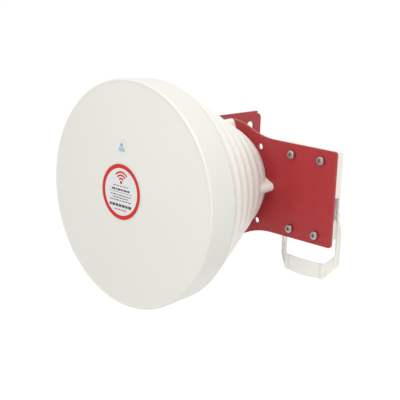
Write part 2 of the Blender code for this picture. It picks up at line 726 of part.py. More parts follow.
def jaw_outline(side):
    """Outline of a toothed V jaw, as (X, Y) points; side is -1 in front of the pole, 1 behind it."""
    teeth = 5
    half = (JAW_APEX - JAW_LIP) * math.sqrt(3)
    points = [(-JAW_HALF_WIDTH, JAW_BACK), (-JAW_HALF_WIDTH, JAW_LIP), (-half, JAW_LIP)]
    for index in range(-teeth, teeth):
        place = (index + 0.5) * half / teeth
        level = JAW_APEX - abs(place) / math.sqrt(3)
        points.append((place - 0.25 * half / teeth, level - 1.1))
        points.append((place + 0.25 * half / teeth, level))
    points += [(half, JAW_LIP), (JAW_HALF_WIDTH, JAW_LIP), (JAW_HALF_WIDTH, JAW_BACK)]
    return [(x + POLE_AT[0], side * y + POLE_AT[1]) for x, y in points]


def clamp_bolt_places():
    return (("left", POLE_AT[0] - CLAMP_BOLT_OFFSET), ("right", POLE_AT[0] + CLAMP_BOLT_OFFSET))


def slot_bolt_place():
    return arc((TILT_Y, TILT_Z), SLOT_RADIUS, SLOT_BOLT_ANGLE, SLOT_BOLT_ANGLE, 1)[0]


def make_jaw(make, name, side):
    height = (POLE_AT[2] - JAW_HEIGHT / 2, POLE_AT[2] + JAW_HEIGHT / 2)
    jaw = make.slab(name, jaw_outline(side), [], "Z", height, "cast")
    drills = []
    for _, x in clamp_bolt_places():
        drills.append(make.rod("hole", (x, POLE_AT[1], POLE_AT[2]),
                               (x, POLE_AT[1] + side * (JAW_BACK + 5), POLE_AT[2]), M8 + 0.5, segments=16))
    return jaw, drills


def make_clamp(make):
    saddle, drills = make_jaw(make, "clamp_base", -1)
    slot_y, slot_z = slot_bolt_place()
    front = POLE_AT[1] - JAW_BACK
    ear_back = front + 4
    outline = arc((slot_y, slot_z), 13, 70, 230, 8)
    outline += arc((TILT_Y, TILT_Z), 15, 235, 285, 5)
    outline += [(ear_back, POLE_AT[2] - JAW_HEIGHT / 2 + 0.5), (ear_back, POLE_AT[2] + JAW_HEIGHT / 2 - 0.5)]
    holes = [circle((TILT_Y, TILT_Z), M8 + 0.4), circle((slot_y, slot_z), M8 + 0.4)]
    ear = make.slab("ear", outline, holes, "X", (FLANGE_OUTER - GAP - 4, FLANGE_OUTER - GAP))
    join(saddle, ear)
    cut(saddle, *drills)
    jaw, drills = make_jaw(make, "clamp_jaw", 1)
    cut(jaw, *drills)
    for side, x in clamp_bolt_places():
        seat = (x, front - GAP, POLE_AT[2])
        length = POLE_AT[1] + CLAMP_BOLT_END - front
        make.hex_bolt("clamp_bolt_" + side, seat, (0, 1, 0), M8, length, 7.3, 5.3, "zinc")
        back = POLE_AT[1] + JAW_BACK + GAP
        make.washer("clamp_washer_" + side, (x, back, POLE_AT[2]), (0, 1, 0), 1.6, M8 + 0.4, 8, "zinc")
        make.nut("clamp_nut_" + side, (x, back + 1.6 + GAP, POLE_AT[2]), "Y", 6.5, M8 + 0.3, 7.3, "zinc")
    for name, y, z in (("tilt", TILT_Y, TILT_Z), ("slot", slot_y, slot_z)):
        inside = FLANGE_INNER + GAP
        make.washer(name + "_washer_inner", (inside, y, z), (1, 0, 0), 1.6, M8 + 0.4, 8.5, "zinc")
        make.hex_bolt(name + "_bolt", (inside + 1.6 + GAP, y, z), (-1, 0, 0), M8, 26, 7.3, 5.3, "zinc")
        outside = FLANGE_OUTER - 2 * GAP - 4
        make.washer(name + "_washer_outer", (outside - 1.6, y, z), (1, 0, 0), 1.6, M8 + 0.4, 8, "zinc")
        make.nut(name + "_nut", (outside - 1.6 - GAP - 6.5, y, z), "X", 6.5, M8 + 0.3, 7.3, "zinc")
    make.washer("tilt_bush", (FLANGE_OUTER, TILT_Y, TILT_Z), (1, 0, 0), SHEET, M8 + 0.4,
                SIDE_HOLE_RADIUS - GAP, "zinc")


# ---------------------------------------------------------------- assembly

JAW_PARTS = ("clamp_jaw", "clamp_washer", "clamp_nut")
CLAMP_PARTS = ("clamp_base", "clamp_bolt", "tilt_", "slot_")


def new_pivot(name, place, parent=None):
    pivot = bpy.data.objects.new(name, None)
    pivot.empty_display_size = 0.02
    pivot.location = place
    bpy.context.scene.collection.objects.link(pivot)
    bpy.context.view_layer.update()
    if parent:
        attach(pivot, parent)
    return pivot


def attach(thing, parent):
    """Parent an object without moving it."""
    bpy.context.view_layer.update()
    world = thing.matrix_world.copy()
    thing.parent = parent
    thing.matrix_parent_inverse = parent.matrix_world.inverted()
    thing.matrix_world = world


def assemble(parts):
    clamp = new_pivot("pole_axis", (0, 0, 0))
    jaw = new_pivot("jaw_slide", (0, 0, 0), clamp)
    head = new_pivot("tilt_axis", spot(FLANGE_INNER, TILT_Y, TILT_Z), clamp)
    bail = new_pivot("bail_axis", spot((CRADLE_LEFT + CRADLE_RIGHT) / 2, BAIL_Y, BAIL_Z), head)
    for thing in list(parts.objects):
        if thing.name.startswith(JAW_PARTS):
            attach(thing, jaw)
        elif thing.name.startswith(CLAMP_PARTS):
            attach(thing, clamp)
        elif thing.name == "bail":
            attach(thing, bail)
        else:
            attach(thing, head)


def shade(parts):
    for thing in parts.objects:
        thing.data.shade_smooth()
        thing.data.set_sharp_from_angle(angle=math.radians(32))


def main():
    clear_scene()
    parts = new_collection("horn_antenna")
    cutters = new_collection("cutters")
    make = Builder(parts, cutters, make_looks())
    make_radome(make)
    make_housing(make)
    make_flare(make)
    make_stickers(make)
    make_bracket(make)
    make_housing_screws(make)
    make_feed(make)
    make_port(make, "horizontal", PORT_X_Y, (1, 0, 0))
    make_port(make, "vertical", PORT_Z_Y, (0, 0, -1))
    make_cradle(make)
    make_bail(make)
    make_clamp(make)
    assemble(parts)
    shade(parts)


main()
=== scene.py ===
"""Looks of the closed-front horn antenna: fine meshes, materials, light and camera.

Places are given in the horn frame of the CAD model, in millimetres: the axis of the horn is Y, the
horn faces -Y, Y = 0 is the rim plane of its face, +X points to the radio cradle and +Z is up.
"""
import json
import math

import bmesh
import bpy
from mathutils import Matrix, Vector


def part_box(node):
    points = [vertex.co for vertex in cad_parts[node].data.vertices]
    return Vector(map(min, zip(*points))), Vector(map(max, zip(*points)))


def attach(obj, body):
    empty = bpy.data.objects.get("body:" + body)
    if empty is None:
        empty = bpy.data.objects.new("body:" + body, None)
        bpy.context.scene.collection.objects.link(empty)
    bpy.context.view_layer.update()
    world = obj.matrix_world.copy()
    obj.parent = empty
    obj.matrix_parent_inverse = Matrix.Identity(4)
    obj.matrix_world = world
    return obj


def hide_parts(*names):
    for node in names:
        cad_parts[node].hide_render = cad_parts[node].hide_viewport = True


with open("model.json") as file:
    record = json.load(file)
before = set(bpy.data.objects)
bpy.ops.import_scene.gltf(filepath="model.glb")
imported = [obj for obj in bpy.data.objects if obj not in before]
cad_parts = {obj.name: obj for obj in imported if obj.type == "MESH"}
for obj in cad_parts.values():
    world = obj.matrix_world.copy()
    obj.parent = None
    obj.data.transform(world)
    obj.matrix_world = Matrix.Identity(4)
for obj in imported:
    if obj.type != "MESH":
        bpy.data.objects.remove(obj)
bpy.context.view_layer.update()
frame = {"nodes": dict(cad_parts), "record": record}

MM = 0.001
# Gap between neighbouring solids of the CAD
GAP = 0.3

# Face of the radome: how far its middle stands out, and the radius where that ends
FACE_DOME = 2.0
FACE_RADIUS = 125.0

RADOME_LOW, RADOME_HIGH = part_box("radome")
ORIGIN = Vector((
    (RADOME_LOW.x + RADOME_HIGH.x) / 2,
    RADOME_LOW.y + FACE_DOME * MM,
    (RADOME_LOW.z + RADOME_HIGH.z) / 2))

# Radome: FRONT and BACK are places along Y, INNER and OUTER are radii
FACE_BACK = 0.9
SKIRT_FRONT = 1.2
SKIRT_BACK = 37.1
SKIRT_OUTER = 125.0
SKIRT_INNER = 122.2
RADOME_CHAMFER = 0.3
RADOME_STEPS = 192
FACE_STEPS = 30
# Raised edge round the face as (radius, depth) points, and the radii where it runs into the face
BEAD = ((127.4, 1.3), (126.7, 0.0), (125.6, -0.45), (125.0, -0.45))
BEAD_FOOT = (123.8, 118.5)
BEAD_ROUNDING = 0.6

# Horn housing: a lip inside the skirt, a ribbed cone, a rear wall and four lugs
LIP_OUTER = 121.9
LIP_INNER = 118.9
LIP_FRONT = 4.5
LIP_CHAMFER = 0.3
BORE_BACK = 40.0
CONE_SLOPE = 0.5394
CONE_WIDEST = SKIRT_OUTER - 0.2
CONE_START = 37.4
CONE_BACK = 161.3
RIB_PITCH = 23.5
RIB_CREST = 57.5
RIB_HEIGHT = 0.9
RIB_FADE_FRONT = 4.0
RIB_FADE_BACK = 6.0
WALL = 4.2
HOLLOW_BACK = 148.0
REAR_WALL_FRONT = 152.0
REAR_WALL_RADIUS = 60.0
REAR_OPENING = 44.3
LUG_SCREW = 61.0
LUG_TIP = 64.7
LUG_TIP_RADIUS = 5.3
LUG_SIDE_ANGLE = 24.6
LUG_DRAFT = 0.6
LUG_LENGTH = 26.0
LUG_BLEND = 1.6
HOUSING_STEPS = 512
HOUSING_ROWS = 110

# Bracket: a disc with a tab on its right side, and a side plate folded back on its left side
SHEET = 3.0
PLATE_FRONT = 161.6
PLATE_BACK = PLATE_FRONT + SHEET
PLATE_OPENING = 33.0
DISC_RADIUS = 69.8
DISC_END_ANGLE = 98.0
TAB_RIGHT = 156.5
TAB_TOP = 55.1
TAB_BOTTOM = -53.8
TAB_CORNER = 3.4
NECK_FILLET = 90.0
FOLD_BEVEL = 3.4
BRACKET_ROUNDING = 0.6
FLANGE_INNER = -45.0
FLANGE_OUTER = FLANGE_INNER - SHEET
FLANGE_HALF_HEIGHT = 64.7
FLANGE_BACK = 265.0
FLANGE_CORNER = 6.7
FLANGE_CORNER_HEIGHT = 54.9
SIDE_HOLE = (245.6, 45.2)
SIDE_HOLE_RADIUS = 7.2
SPARE_HOLE = (46.4, 44.0)
SPARE_HOLE_RADIUS = 3.5
SCREW_HOLE_RADIUS = 3.0
FEED_SCREW_RADIUS = 38.0
FEED_HOLE_RADIUS = 2.5
TILT_AT = (SIDE_HOLE[0], -SIDE_HOLE[1])
SLOT_RADIUS = 60.0
SLOT_FROM = 114.0
SLOT_TO = 151.0
SLOT_HALF_WIDTH = 4.5

# Radio cradle: a tray, with a recess in each side where the bail's arms pass
CRADLE_LEFT = 74.0
CRADLE_RIGHT = 154.0
CRADLE_TOP = 54.2
CRADLE_BOTTOM = -49.7
CRADLE_FRONT = PLATE_BACK + GAP
CRADLE_BACK = 177.4
CRADLE_CORNER = 2.6
CRADLE_ROUNDING = 0.5
CRADLE_WALL = 3.0
CRADLE_MIDDLE = (CRADLE_LEFT + CRADLE_RIGHT) / 2
RECESS_TOP = 2.0
RECESS_BOTTOM = -24.4
RECESS_DEPTH = 9.0
RECESS_WALL = 2.0
RECESS_BACK = 174.9
# Ears that hold the bail's pins: half their height, and their places from the side's outer face
EAR_REACH = 3.0
EAR_DEPTHS = (RECESS_DEPTH + 0.5, CRADLE_WALL + 0.4)
LOW_PART_BACK = 170.0
LOW_RIM_BACK = 172.0
BOSS_BACK = 173.0
BOSS_RADIUS = 5.6
BOSS_SINK = 1.1
BOSS_DRILL = 2.8
BOSS_DRILL_SPAN = (160, 180)
# How far a cutter passes the surface that it cuts
PAST = 5.0
# Screws through the plate into the cradle, as (X, Z)
DOCK_SCREWS = ((95.0, 42.9), (137.0, 42.9), (98.0, -42.8), (134.6, -42.7))

# Bail: a loop that swings about two pins in the side walls of the cradle
BAIL_Y = 176.6
BAIL_Z = -18.0
BAIL_HEAD = 2.4
BAIL_ARM = 2.4
BAIL_BACK = 184.4
BAIL_ROUNDING = 0.4
ARM_BOTTOM = -78.9
# One arm below its head, as (Y, Z) points: down its front edge, then up its back edge
ARM_LINE = (
    (174.2, -19.5), (177.0, -26.5), (177.0, ARM_BOTTOM - 2.3),
    (183.3, ARM_BOTTOM), (184.1, -69.0), (BAIL_BACK, -60.0), (BAIL_BACK, -42.0),
    (183.7, -37.0), (181.8, -31.0), (179.5, -24.5), (179.0, -20.5))
# Hollow in the outer side of each arm, as (Y, Z) points
ARM_HOLLOW = (
    (178.9, -30), (178.9, -76.4), (181.6, -76.4), (182.4, -60), (182.4, -42), (181.4, -36))
ARM_ROUNDING = 8.0
ARM_HOLLOW_ROUNDING = 1.2
ARM_HOLLOW_DEPTH = 0.9
FOOT_FRONT = 170.0
FOOT_TOP = -77.4
FOOT_BOTTOM = -94.8
FOOT_INSET = 12.2
FOOT_RIM = 4.4
FOOT_SHEET = 2.2
FOOT_BULGE = 95.9
FOOT_WALL_TOP = -64.5
FOOT_WALL_BACK = 177.3
FOOT_WALL_SINK = 0.1
FOOT_HOLLOW_DEPTH = 1.2
FOOT_HOLLOW_MARGIN = 2.2
FOOT_SAG = 1.1
FOOT_SAG_REACH = 22.0
PIN_HOLE = 1.4

# Stickers: places on the face as (X, Z), and prints that stand out of them
STICKER_GAP = 0.05
PRINT_RAISE = 0.04
LABEL_AT = (-9.3, 2.4)
LABEL_RADIUS = 32.1
LABEL_THICKNESS = 0.25
LABEL_EDGE = 0.15
LABEL_PRINT_SINK = 0.05
LABEL_RING = (LABEL_RADIUS - 1.0, LABEL_RADIUS - 5.7)
EMBLEM_HEIGHT = 10.6
EMBLEM_ARCS = (4.4, 8.0, 11.6)
EMBLEM_HALF_LINE = 1.0
EMBLEM_DOT = 1.9
# Rows of bars on the label: height above its middle, thickness, width and ink
LABEL_ROWS = (
    (6.4, 0.8, 26, "dark_ink"),
    (2.2, 2.1, 30, "dark_ink"),
    (-0.9, 0.5, 38, "dark_ink"),
    (-4.0, 1.0, 36, "dark_ink"),
    (-7.0, 1.0, 26, "dark_ink"),
    (-10.0, 1.0, 33, "dark_ink"),
    (-15.4, 3.0, 36, "dark_ink"),
    (-20.2, 1.2, 22, "red_ink"),
)
BAR_GAP = 0.9
BAR_SHORTEST = 2.2
BAR_SPREAD = 3.1
BAR_ROW_SLACK = 2.5
MARK_AT = (-10.2, 52.6)
MARK_RADIUS = 6.8
MARK_THICKNESS = 0.15
MARK_EDGE = 0.08
MARK_PRINT_SINK = 0.03
# Arrow of the mark as (X, Z) points about its middle, then the heights and half size of its bars
MARK_ARROW = ((-3.4, 1.0), (0, 5.0), (3.4, 1.0), (1.5, 1.0), (1.5, -0.5), (-1.5, -0.5), (-1.5, 1.0))
MARK_BARS = (-2.0, -4.2)
MARK_BAR_HALF = (4.6, 0.75)

# Turns that lay an outline across each axis, so that its points are (Y, Z), (X, Z) and (X, Y)
AXIS_TURN = {
    "X": Matrix(((0, 0, 1), (1, 0, 0), (0, 1, 0))),
    "Y": Matrix.Rotation(math.radians(90), 3, "X"),
    "Z": Matrix.Identity(3),
}


def spot(x, y, z):
    """World position in metres of a horn-frame place in millimetres."""
    return ORIGIN + Vector((x, y, z)) * MM


# ---------------------------------------------------------------- camera, light, stage

CAMERA_AZIMUTH = 44.15
CAMERA_ELEVATION = 13.72
CAMERA_ROLL = 2.21
CAMERA_DISTANCE = 1095.2
CAMERA_TARGET = (109.5, 0.0, 16.6)
CAMERA_LENS = 96.8
SENSOR_WIDTH = 36.0


def direction(azimuth, elevation):
    """Unit vector from the object towards a viewer; azimuth 0 is in front, at -Y."""
    a = math.radians(azimuth)
    e = math.radians(elevation)
    return Vector((math.sin(a) * math.cos(e), -math.cos(a) * math.cos(e), math.sin(e)))


def make_camera():
    """Camera fitted to the photograph."""
    data = bpy.data.cameras.new("camera")
    data.lens = CAMERA_LENS
    data.sensor_width = SENSOR_WIDTH
    data.clip_start = 0.05
    data.clip_end = 50.0
    camera = bpy.data.objects.new("camera", data)
    bpy.context.scene.collection.objects.link(camera)
    back = direction(CAMERA_AZIMUTH, CAMERA_ELEVATION)
    side = direction(CAMERA_AZIMUTH + 90, 0)
    up = back.cross(side)
    roll = math.radians(CAMERA_ROLL)
    right = side * math.cos(roll) + up * math.sin(roll)
    top = up * math.cos(roll) - side * math.sin(roll)
    place = Matrix.Translation(spot(*CAMERA_TARGET) + back * CAMERA_DISTANCE * MM)
    camera.matrix_world = place @ Matrix((right, top, back)).transposed().to_4x4()
    bpy.context.scene.camera = camera


# Name, azimuth and elevation in degrees, distance and size in metres, power in watts
LIGHTS = (
    ("high_light", 60, 60, 1.2, 0.5, 5.7),
    ("upper_light", -20, 48, 1.3, 0.5, 2.4),
    ("near_light", 25, 20, 0.6, 0.25, 0.60),
    ("edge_light", 102, -12, 1.4, 0.3, 0.7),
)
LIGHT_TARGET = (60, 80, 0)
WORLD_STRENGTH = 1.07
# Floor: half its width and its height in metres
FLOOR_REACH = 60.0
FLOOR_HEIGHT = -0.45
FLOOR_WHITE = 0.93
FLOOR_GLOW = 0.02


def add_area(name, azimuth, elevation, distance, size, power):
    """Round area light that shines on the target."""
    data = bpy.data.lights.new(name, "AREA")
    data.shape = "DISK"
    data.size = size
    data.energy = power
    light = bpy.data.objects.new(name, data)
    way = direction(azimuth, elevation)
    light.location = spot(*LIGHT_TARGET) + way * distance
    light.rotation_euler = way.to_track_quat("Z", "Y").to_euler()
    bpy.context.scene.collection.objects.link(light)


def make_lights():
    """White surroundings and four soft lamps."""
    world = bpy.data.worlds.new("studio")
    world.use_nodes = True
    shade = world.node_tree.nodes["Background"]
    shade.inputs["Color"].default_value = (1.0, 1.0, 1.0, 1.0)
    shade.inputs["Strength"].default_value = WORLD_STRENGTH
    bpy.context.scene.world = world
    for light in LIGHTS:
        add_area(*light)


def make_stage():
    """White floor, far below the horn."""
    mesh = bpy.data.meshes.new("floor")
    shape = bmesh.new()
    bmesh.ops.create_grid(shape, x_segments=1, y_segments=1, size=FLOOR_REACH)
    shape.to_mesh(mesh)
    shape.free()
    floor = bpy.data.objects.new("floor", mesh)
    floor.location = (0, 0, FLOOR_HEIGHT)
    bpy.context.scene.collection.objects.link(floor)
    look = bpy.data.materials.new("floor_white")
    look.use_nodes = True
    shader = look.node_tree.nodes["Principled BSDF"]
    shader.inputs["Base Color"].default_value = (FLOOR_WHITE, FLOOR_WHITE, FLOOR_WHITE, 1.0)
    shader.inputs["Roughness"].default_value = 0.9
    shader.inputs["Specular IOR Level"].default_value = 0.1
    shader.inputs["Emission Color"].default_value = (1.0, 1.0, 1.0, 1.0)
    shader.inputs["Emission Strength"].default_value = FLOOR_GLOW
    mesh.materials.append(look)


# ---------------------------------------------------------------- materials

class Shader:
    """A Principled material whose colour, roughness and bump vary with noise.

    Sizes of noise features and heights of bumps are in millimetres.
    """

    def __init__(self, name, colour, roughness, metallic=0.0):
        self.material = bpy.data.materials.new(name)
        self.material.use_nodes = True
        self.nodes = self.material.node_tree.nodes
        self.links = self.material.node_tree.links
        self.surface = self.nodes["Principled BSDF"]
        self.surface.inputs["Base Color"].default_value = (*colour, 1.0)
        self.surface.inputs["Roughness"].default_value = roughness
        self.surface.inputs["Metallic"].default_value = metallic
        self.colour = colour
        self.roughness = roughness
        self.place = self.nodes.new("ShaderNodeTexCoord").outputs["Object"]
        self.bump = None

    def shine(self, level):
        """Set the strength of the clear reflection."""
        self.surface.inputs["Specular IOR Level"].default_value = level
        return self

    def noise(self, size, detail=3.0, stretch=(1, 1, 1)):
        """Noise whose features are about size millimetres across."""
        place = self.place
        if stretch != (1, 1, 1):
            mapping = self.nodes.new("ShaderNodeMapping")
            mapping.inputs["Scale"].default_value = stretch
            self.links.new(place, mapping.inputs["Vector"])
            place = mapping.outputs["Vector"]
        noise = self.nodes.new("ShaderNodeTexNoise")
        noise.inputs["Scale"].default_value = 1000.0 / size
        noise.inputs["Detail"].default_value = detail
        self.links.new(place, noise.inputs["Vector"])
        return noise.outputs["Fac"]

    def mapped(self, value, low, high):
        """Spread the middle of a noise value, from 0.3 to 0.7, over a range."""
        node = self.nodes.new("ShaderNodeMapRange")
        node.inputs["From Min"].default_value = 0.3
        node.inputs["From Max"].default_value = 0.7
        node.inputs["To Min"].default_value = low
        node.inputs["To Max"].default_value = high
        self.links.new(value, node.inputs["Value"])
        return node.outputs["Result"]

    def mix(self, factor, first, second):
        """Blend two colours; a Mix node keeps its colour sockets at places 6 and 7."""
        node = self.nodes.new("ShaderNodeMix")
        node.data_type = "RGBA"
        self.links.new(factor, node.inputs["Factor"])
        node.inputs[6].default_value = (*first, 1.0)
        node.inputs[7].default_value = (*second, 1.0)
        return node.outputs[2]

    def mottle(self, size, spread, tint=(1.0, 1.0, 1.0)):
        """Vary the colour about itself, towards a tint at its light end."""
        dark = tuple(part * (1 - spread) for part in self.colour)
        light = tuple(min(1.0, part * (1 + spread) * warm) for part, warm in zip(self.colour, tint))
        factor = self.mapped(self.noise(size), 0.0, 1.0)
        self.links.new(self.mix(factor, dark, light), self.surface.inputs["Base Color"])
        return self

    def polish(self, size, spread, stretch=(1, 1, 1)):
        """Vary the roughness about itself."""
        noise = self.noise(size, stretch=stretch)
        value = self.mapped(noise, self.roughness - spread, self.roughness + spread)
        self.links.new(value, self.surface.inputs["Roughness"])
        return self

    def grain(self, size, depth, stretch=(1, 1, 1), detail=2.0):
        """Raise and sink the surface by about depth millimetres."""
        bump = self.nodes.new("ShaderNodeBump")
        bump.inputs["Strength"].default_value = 1.0
        bump.inputs["Distance"].default_value = depth * MM
        self.links.new(self.noise(size, detail, stretch), bump.inputs["Height"])
        if self.bump:
            self.links.new(self.bump.outputs["Normal"], bump.inputs["Normal"])
        self.links.new(bump.outputs["Normal"], self.surface.inputs["Normal"])
        self.bump = bump
        return self


def make_materials():
    """Every material by its key: colour, roughness, metallic, then how noise varies it."""
    looks = {
        "radome": Shader("radome_plastic", (0.547, 0.546, 0.505), 0.42)
        .mottle(90, 0.012, (1, 0.998, 0.985)).polish(14, 0.05).grain(1.1, 0.010).grain(9, 0.02),

        "housing": Shader("housing_plastic", (0.66, 0.645, 0.597), 0.5)
        .mottle(60, 0.015, (1, 0.995, 0.98)).polish(10, 0.06).grain(0.9, 0.012).grain(12, 0.03),

        "red_coat": Shader("red_powder_coat", (0.30, 0.0130, 0.0175), 0.30)
        .mottle(90, 0.01).shine(0.5).polish(30, 0.015)
        .grain(1.1, 0.007, detail=1.0).grain(0.35, 0.003),

        "cradle": Shader("cradle_plastic", (0.65, 0.636, 0.59), 0.46)
        .mottle(35, 0.012, (1, 0.997, 0.98)).polish(8, 0.05).grain(0.8, 0.010),

        "aluminium": Shader("spun_aluminium", (0.66, 0.67, 0.68), 0.32, 1.0)
        .polish(2, 0.08, (1, 6, 1)).grain(1.0, 0.010, (1, 8, 1)),

        "cast": Shader("cast_aluminium", (0.44, 0.45, 0.46), 0.55, 1.0)
        .mottle(12, 0.08).polish(4, 0.1).grain(0.7, 0.05).grain(4, 0.06),

        "stainless": Shader("stainless_steel", (0.42, 0.40, 0.375), 0.24, 1.0)
        .mottle(3, 0.06).polish(1.2, 0.1).grain(0.5, 0.006),

        "zinc": Shader("zinc_plate", (0.60, 0.61, 0.61), 0.33, 1.0)
        .mottle(7, 0.07, (1.0, 0.98, 0.92)).polish(2, 0.1).grain(0.6, 0.008),

        "brass": Shader("turned_brass", (0.72, 0.52, 0.22), 0.25, 1.0)
        .mottle(5, 0.05).polish(1, 0.08),

        "ptfe": Shader("white_ptfe", (0.86, 0.86, 0.84), 0.4)
        .mottle(6, 0.01).grain(0.7, 0.01),

        "rubber": Shader("black_rubber", (0.022, 0.022, 0.023), 0.65)
        .mottle(9, 0.15).polish(3, 0.08).grain(0.6, 0.02),

        "paper": Shader("label_film", (0.525, 0.53, 0.525), 0.4)
        .mottle(20, 0.01).polish(5, 0.04).grain(2.5, 0.006),

        "red_ink": Shader("red_print", (0.43, 0.020, 0.010), 0.55)
        .mottle(4, 0.05).polish(3, 0.04).grain(0.6, 0.003).shine(0.2),

        "dark_ink": Shader("dark_print", (0.035, 0.03, 0.03), 0.4)
        .mottle(4, 0.1).polish(3, 0.04).grain(0.6, 0.003),

        "blue_ink": Shader("blue_print", (0.13, 0.31, 0.43), 0.5)
        .mottle(4, 0.05).polish(3, 0.04).grain(0.6, 0.003),

        "clear_film": Shader("clear_film", (0.547, 0.546, 0.505), 0.42)
        .mottle(6, 0.01).polish(3, 0.04).grain(2.0, 0.004),
    }
    return {key: look.material for key, look in looks.items()}


# ---------------------------------------------------------------- outlines and profiles

def arc(centre, radius, start, end, steps):
    """Points on a circle from one angle to another, in degrees, both ends included."""
    points = []
    for step in range(steps + 1):
        angle = math.radians(start + (end - start) * step / steps)
        points.append((centre[0] + radius * math.cos(angle), centre[1] + radius * math.sin(angle)))
    return points


def circle(centre, radius, steps=32):
    """Closed outline of a circle."""
    return arc(centre, radius, 0, 360, steps)[:-1]


def mirrored(points):
    """The same points with the second coordinate turned over, in the opposite order."""
    return [(first, -second) for first, second in reversed(points)]


def arc_slot(centre, radius, half_width, start, end, steps=16):
    """Outline of a slot that follows a circle, with round ends."""
    first = arc(centre, radius, start, start, 1)[0]
    last = arc(centre, radius, end, end, 1)[0]
    outline = arc(centre, radius + half_width, start, end, steps)
    outline += arc(last, half_width, end, end + 180, 12)[1:]
    outline += arc(centre, radius - half_width, end, start, steps)[1:]
    outline += arc(first, half_width, start + 180, start + 360, 12)[1:-1]
    return outline


def rounded(points, radius, steps=4, closed=False, skip=()):
    """Replace the corners of a run of points with arcs of about one radius.

    The points whose places are in skip stay sharp. An arc never takes more than longest_share of
    the line on either side of its corner, and a corner flatter than straight is left alone.
    """
    longest_share = 0.48
    straight = math.radians(178)
    result = []
    count = len(points)
    for index, point in enumerate(points):
        if (not closed and index in (0, count - 1)) or index in skip:
            result.append(point)
            continue
        here = Vector(point)
        before = Vector(points[index - 1]) - here
        after = Vector(points[(index + 1) % count]) - here
        bend = before.angle(after)
        if bend > straight:
            result.append(point)
            continue
        room = min(before.length, after.length) * longest_share
        reach = min(radius / math.tan(bend / 2), room)
        start = here + before.normalized() * reach
        end = here + after.normalized() * reach
        for step in range(steps + 1):
            part = step / steps
            low = start.lerp(here, part)
            high = here.lerp(end, part)
            result.append(tuple(low.lerp(high, part)))
    return result


# ---------------------------------------------------------------- building blocks

# Metres between vertices that count as one
WELD_REACH = 0.000001


def finish_mesh(name, mesh, material, body, nodes=(), angle=32):
    """Make a visible piece of a mesh: its shading, its material and the body it rides on.

    Nodes are the CAD nodes that the piece stands for, material is the key of the look that it takes
    and edges steeper than angle stay sharp.
    """
    mesh.materials.clear()
    mesh.materials.append(LOOKS[material])
    mesh.shade_smooth()
    mesh.set_sharp_from_angle(angle=math.radians(angle))
    piece = bpy.data.objects.new(name, mesh)
    bpy.context.scene.collection.objects.link(piece)
    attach(piece, body)
    if nodes:
        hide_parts(*nodes)


def mesh_from(name, vertices, faces):
    """Closed mesh from world places and faces."""
    mesh = bpy.data.meshes.new(name)
    mesh.from_pydata([tuple(vertex) for vertex in vertices], [], faces)
    weld(mesh)
    return mesh


def weld(mesh):
    """Merge vertices that lie together, and turn the faces outwards."""
    shape = bmesh.new()
    shape.from_mesh(mesh)
    bmesh.ops.remove_doubles(shape, verts=shape.verts, dist=WELD_REACH)
    bmesh.ops.dissolve_degenerate(shape, edges=shape.edges, dist=WELD_REACH)
    bmesh.ops.recalc_face_normals(shape, faces=shape.faces)
    shape.to_mesh(mesh)
    shape.free()


def turned(name, profile, base, way, steps, ring=False):
    """Mesh of (radius, height) points turned about a line through base that runs along way.

    The profile is a list of points, or a function that makes one for each angle. A ring is a
    profile whose last point joins its first.
    """
    turn = Vector((0, 0, 1)).rotation_difference(Vector(way)).to_matrix()
    base = spot(*base)
    vertices = []
    for step in range(steps):
        angle = 2 * math.pi * step / steps
        points = profile(angle) if callable(profile) else profile
        for radius, height in points:
            local = Vector((radius * math.cos(angle), radius * math.sin(angle), height)) * MM
            vertices.append(base + turn @ local)
    count = len(points)
    spans = count if ring else count - 1
    faces = []
    for step in range(steps):
        here = step * count
        there = (step + 1) % steps * count
        for index in range(spans):
            after = (index + 1) % count
            faces.append((here + index, there + index, there + after, here + after))
    return mesh_from(name, vertices, faces)


def slab(name, outline, holes, axis, span):
    """Mesh of a flat outline with holes, extruded along X, Y or Z between two heights."""
    curve = bpy.data.curves.new(name, "CURVE")
    curve.dimensions = "2D"
    curve.fill_mode = "BOTH"
    curve.extrude = abs(span[1] - span[0]) / 2 * MM
    for points in [outline] + list(holes):
        spline = curve.splines.new("POLY")
        spline.points.add(len(points) - 1)
        for point, (first, second) in zip(spline.points, points):
            point.co = (first * MM, second * MM, 0, 1)
        spline.use_cyclic_u = True
    guide = bpy.data.objects.new(name, curve)
    bpy.context.scene.collection.objects.link(guide)
    bpy.context.view_layer.update()
    graph = bpy.context.evaluated_depsgraph_get()
    mesh = bpy.data.meshes.new_from_object(guide.evaluated_get(graph))
    bpy.data.objects.remove(guide)
    bpy.data.curves.remove(curve)
    middle = (span[0] + span[1]) / 2
    centre = {"X": (middle, 0, 0), "Y": (0, middle, 0), "Z": (0, 0, middle)}[axis]
    mesh.transform(Matrix.Translation(spot(*centre)) @ AXIS_TURN[axis].to_4x4())
    weld(mesh)
    return mesh


def block(low, high):
    """Mesh of a box between two corners."""
    mesh = bpy.data.meshes.new("block")
    shape = bmesh.new()
    bmesh.ops.create_cube(shape, size=1.0)
    size = Vector(high) - Vector(low)
    middle = (Vector(high) + Vector(low)) / 2
    bmesh.ops.scale(shape, vec=size * MM, verts=shape.verts)
    bmesh.ops.translate(shape, vec=spot(*middle), verts=shape.verts)
    shape.to_mesh(mesh)
    shape.free()
    return mesh


def hull(corners):
    """Mesh of the convex body round some corners."""
    mesh = bpy.data.meshes.new("hull")
    shape = bmesh.new()
    for corner in corners:
        shape.verts.new(spot(*corner))
    bmesh.ops.convex_hull(shape, input=shape.verts)
    shape.to_mesh(mesh)
    shape.free()
    weld(mesh)
    return mesh


def rod(start, end, radius, segments=32):
    """Mesh of a round bar between two places."""
    way = Vector(end) - Vector(start)
    reach = way.length
    return turned("rod", [(0, reach), (radius, reach), (radius, 0), (0, 0)], start, way, segments)


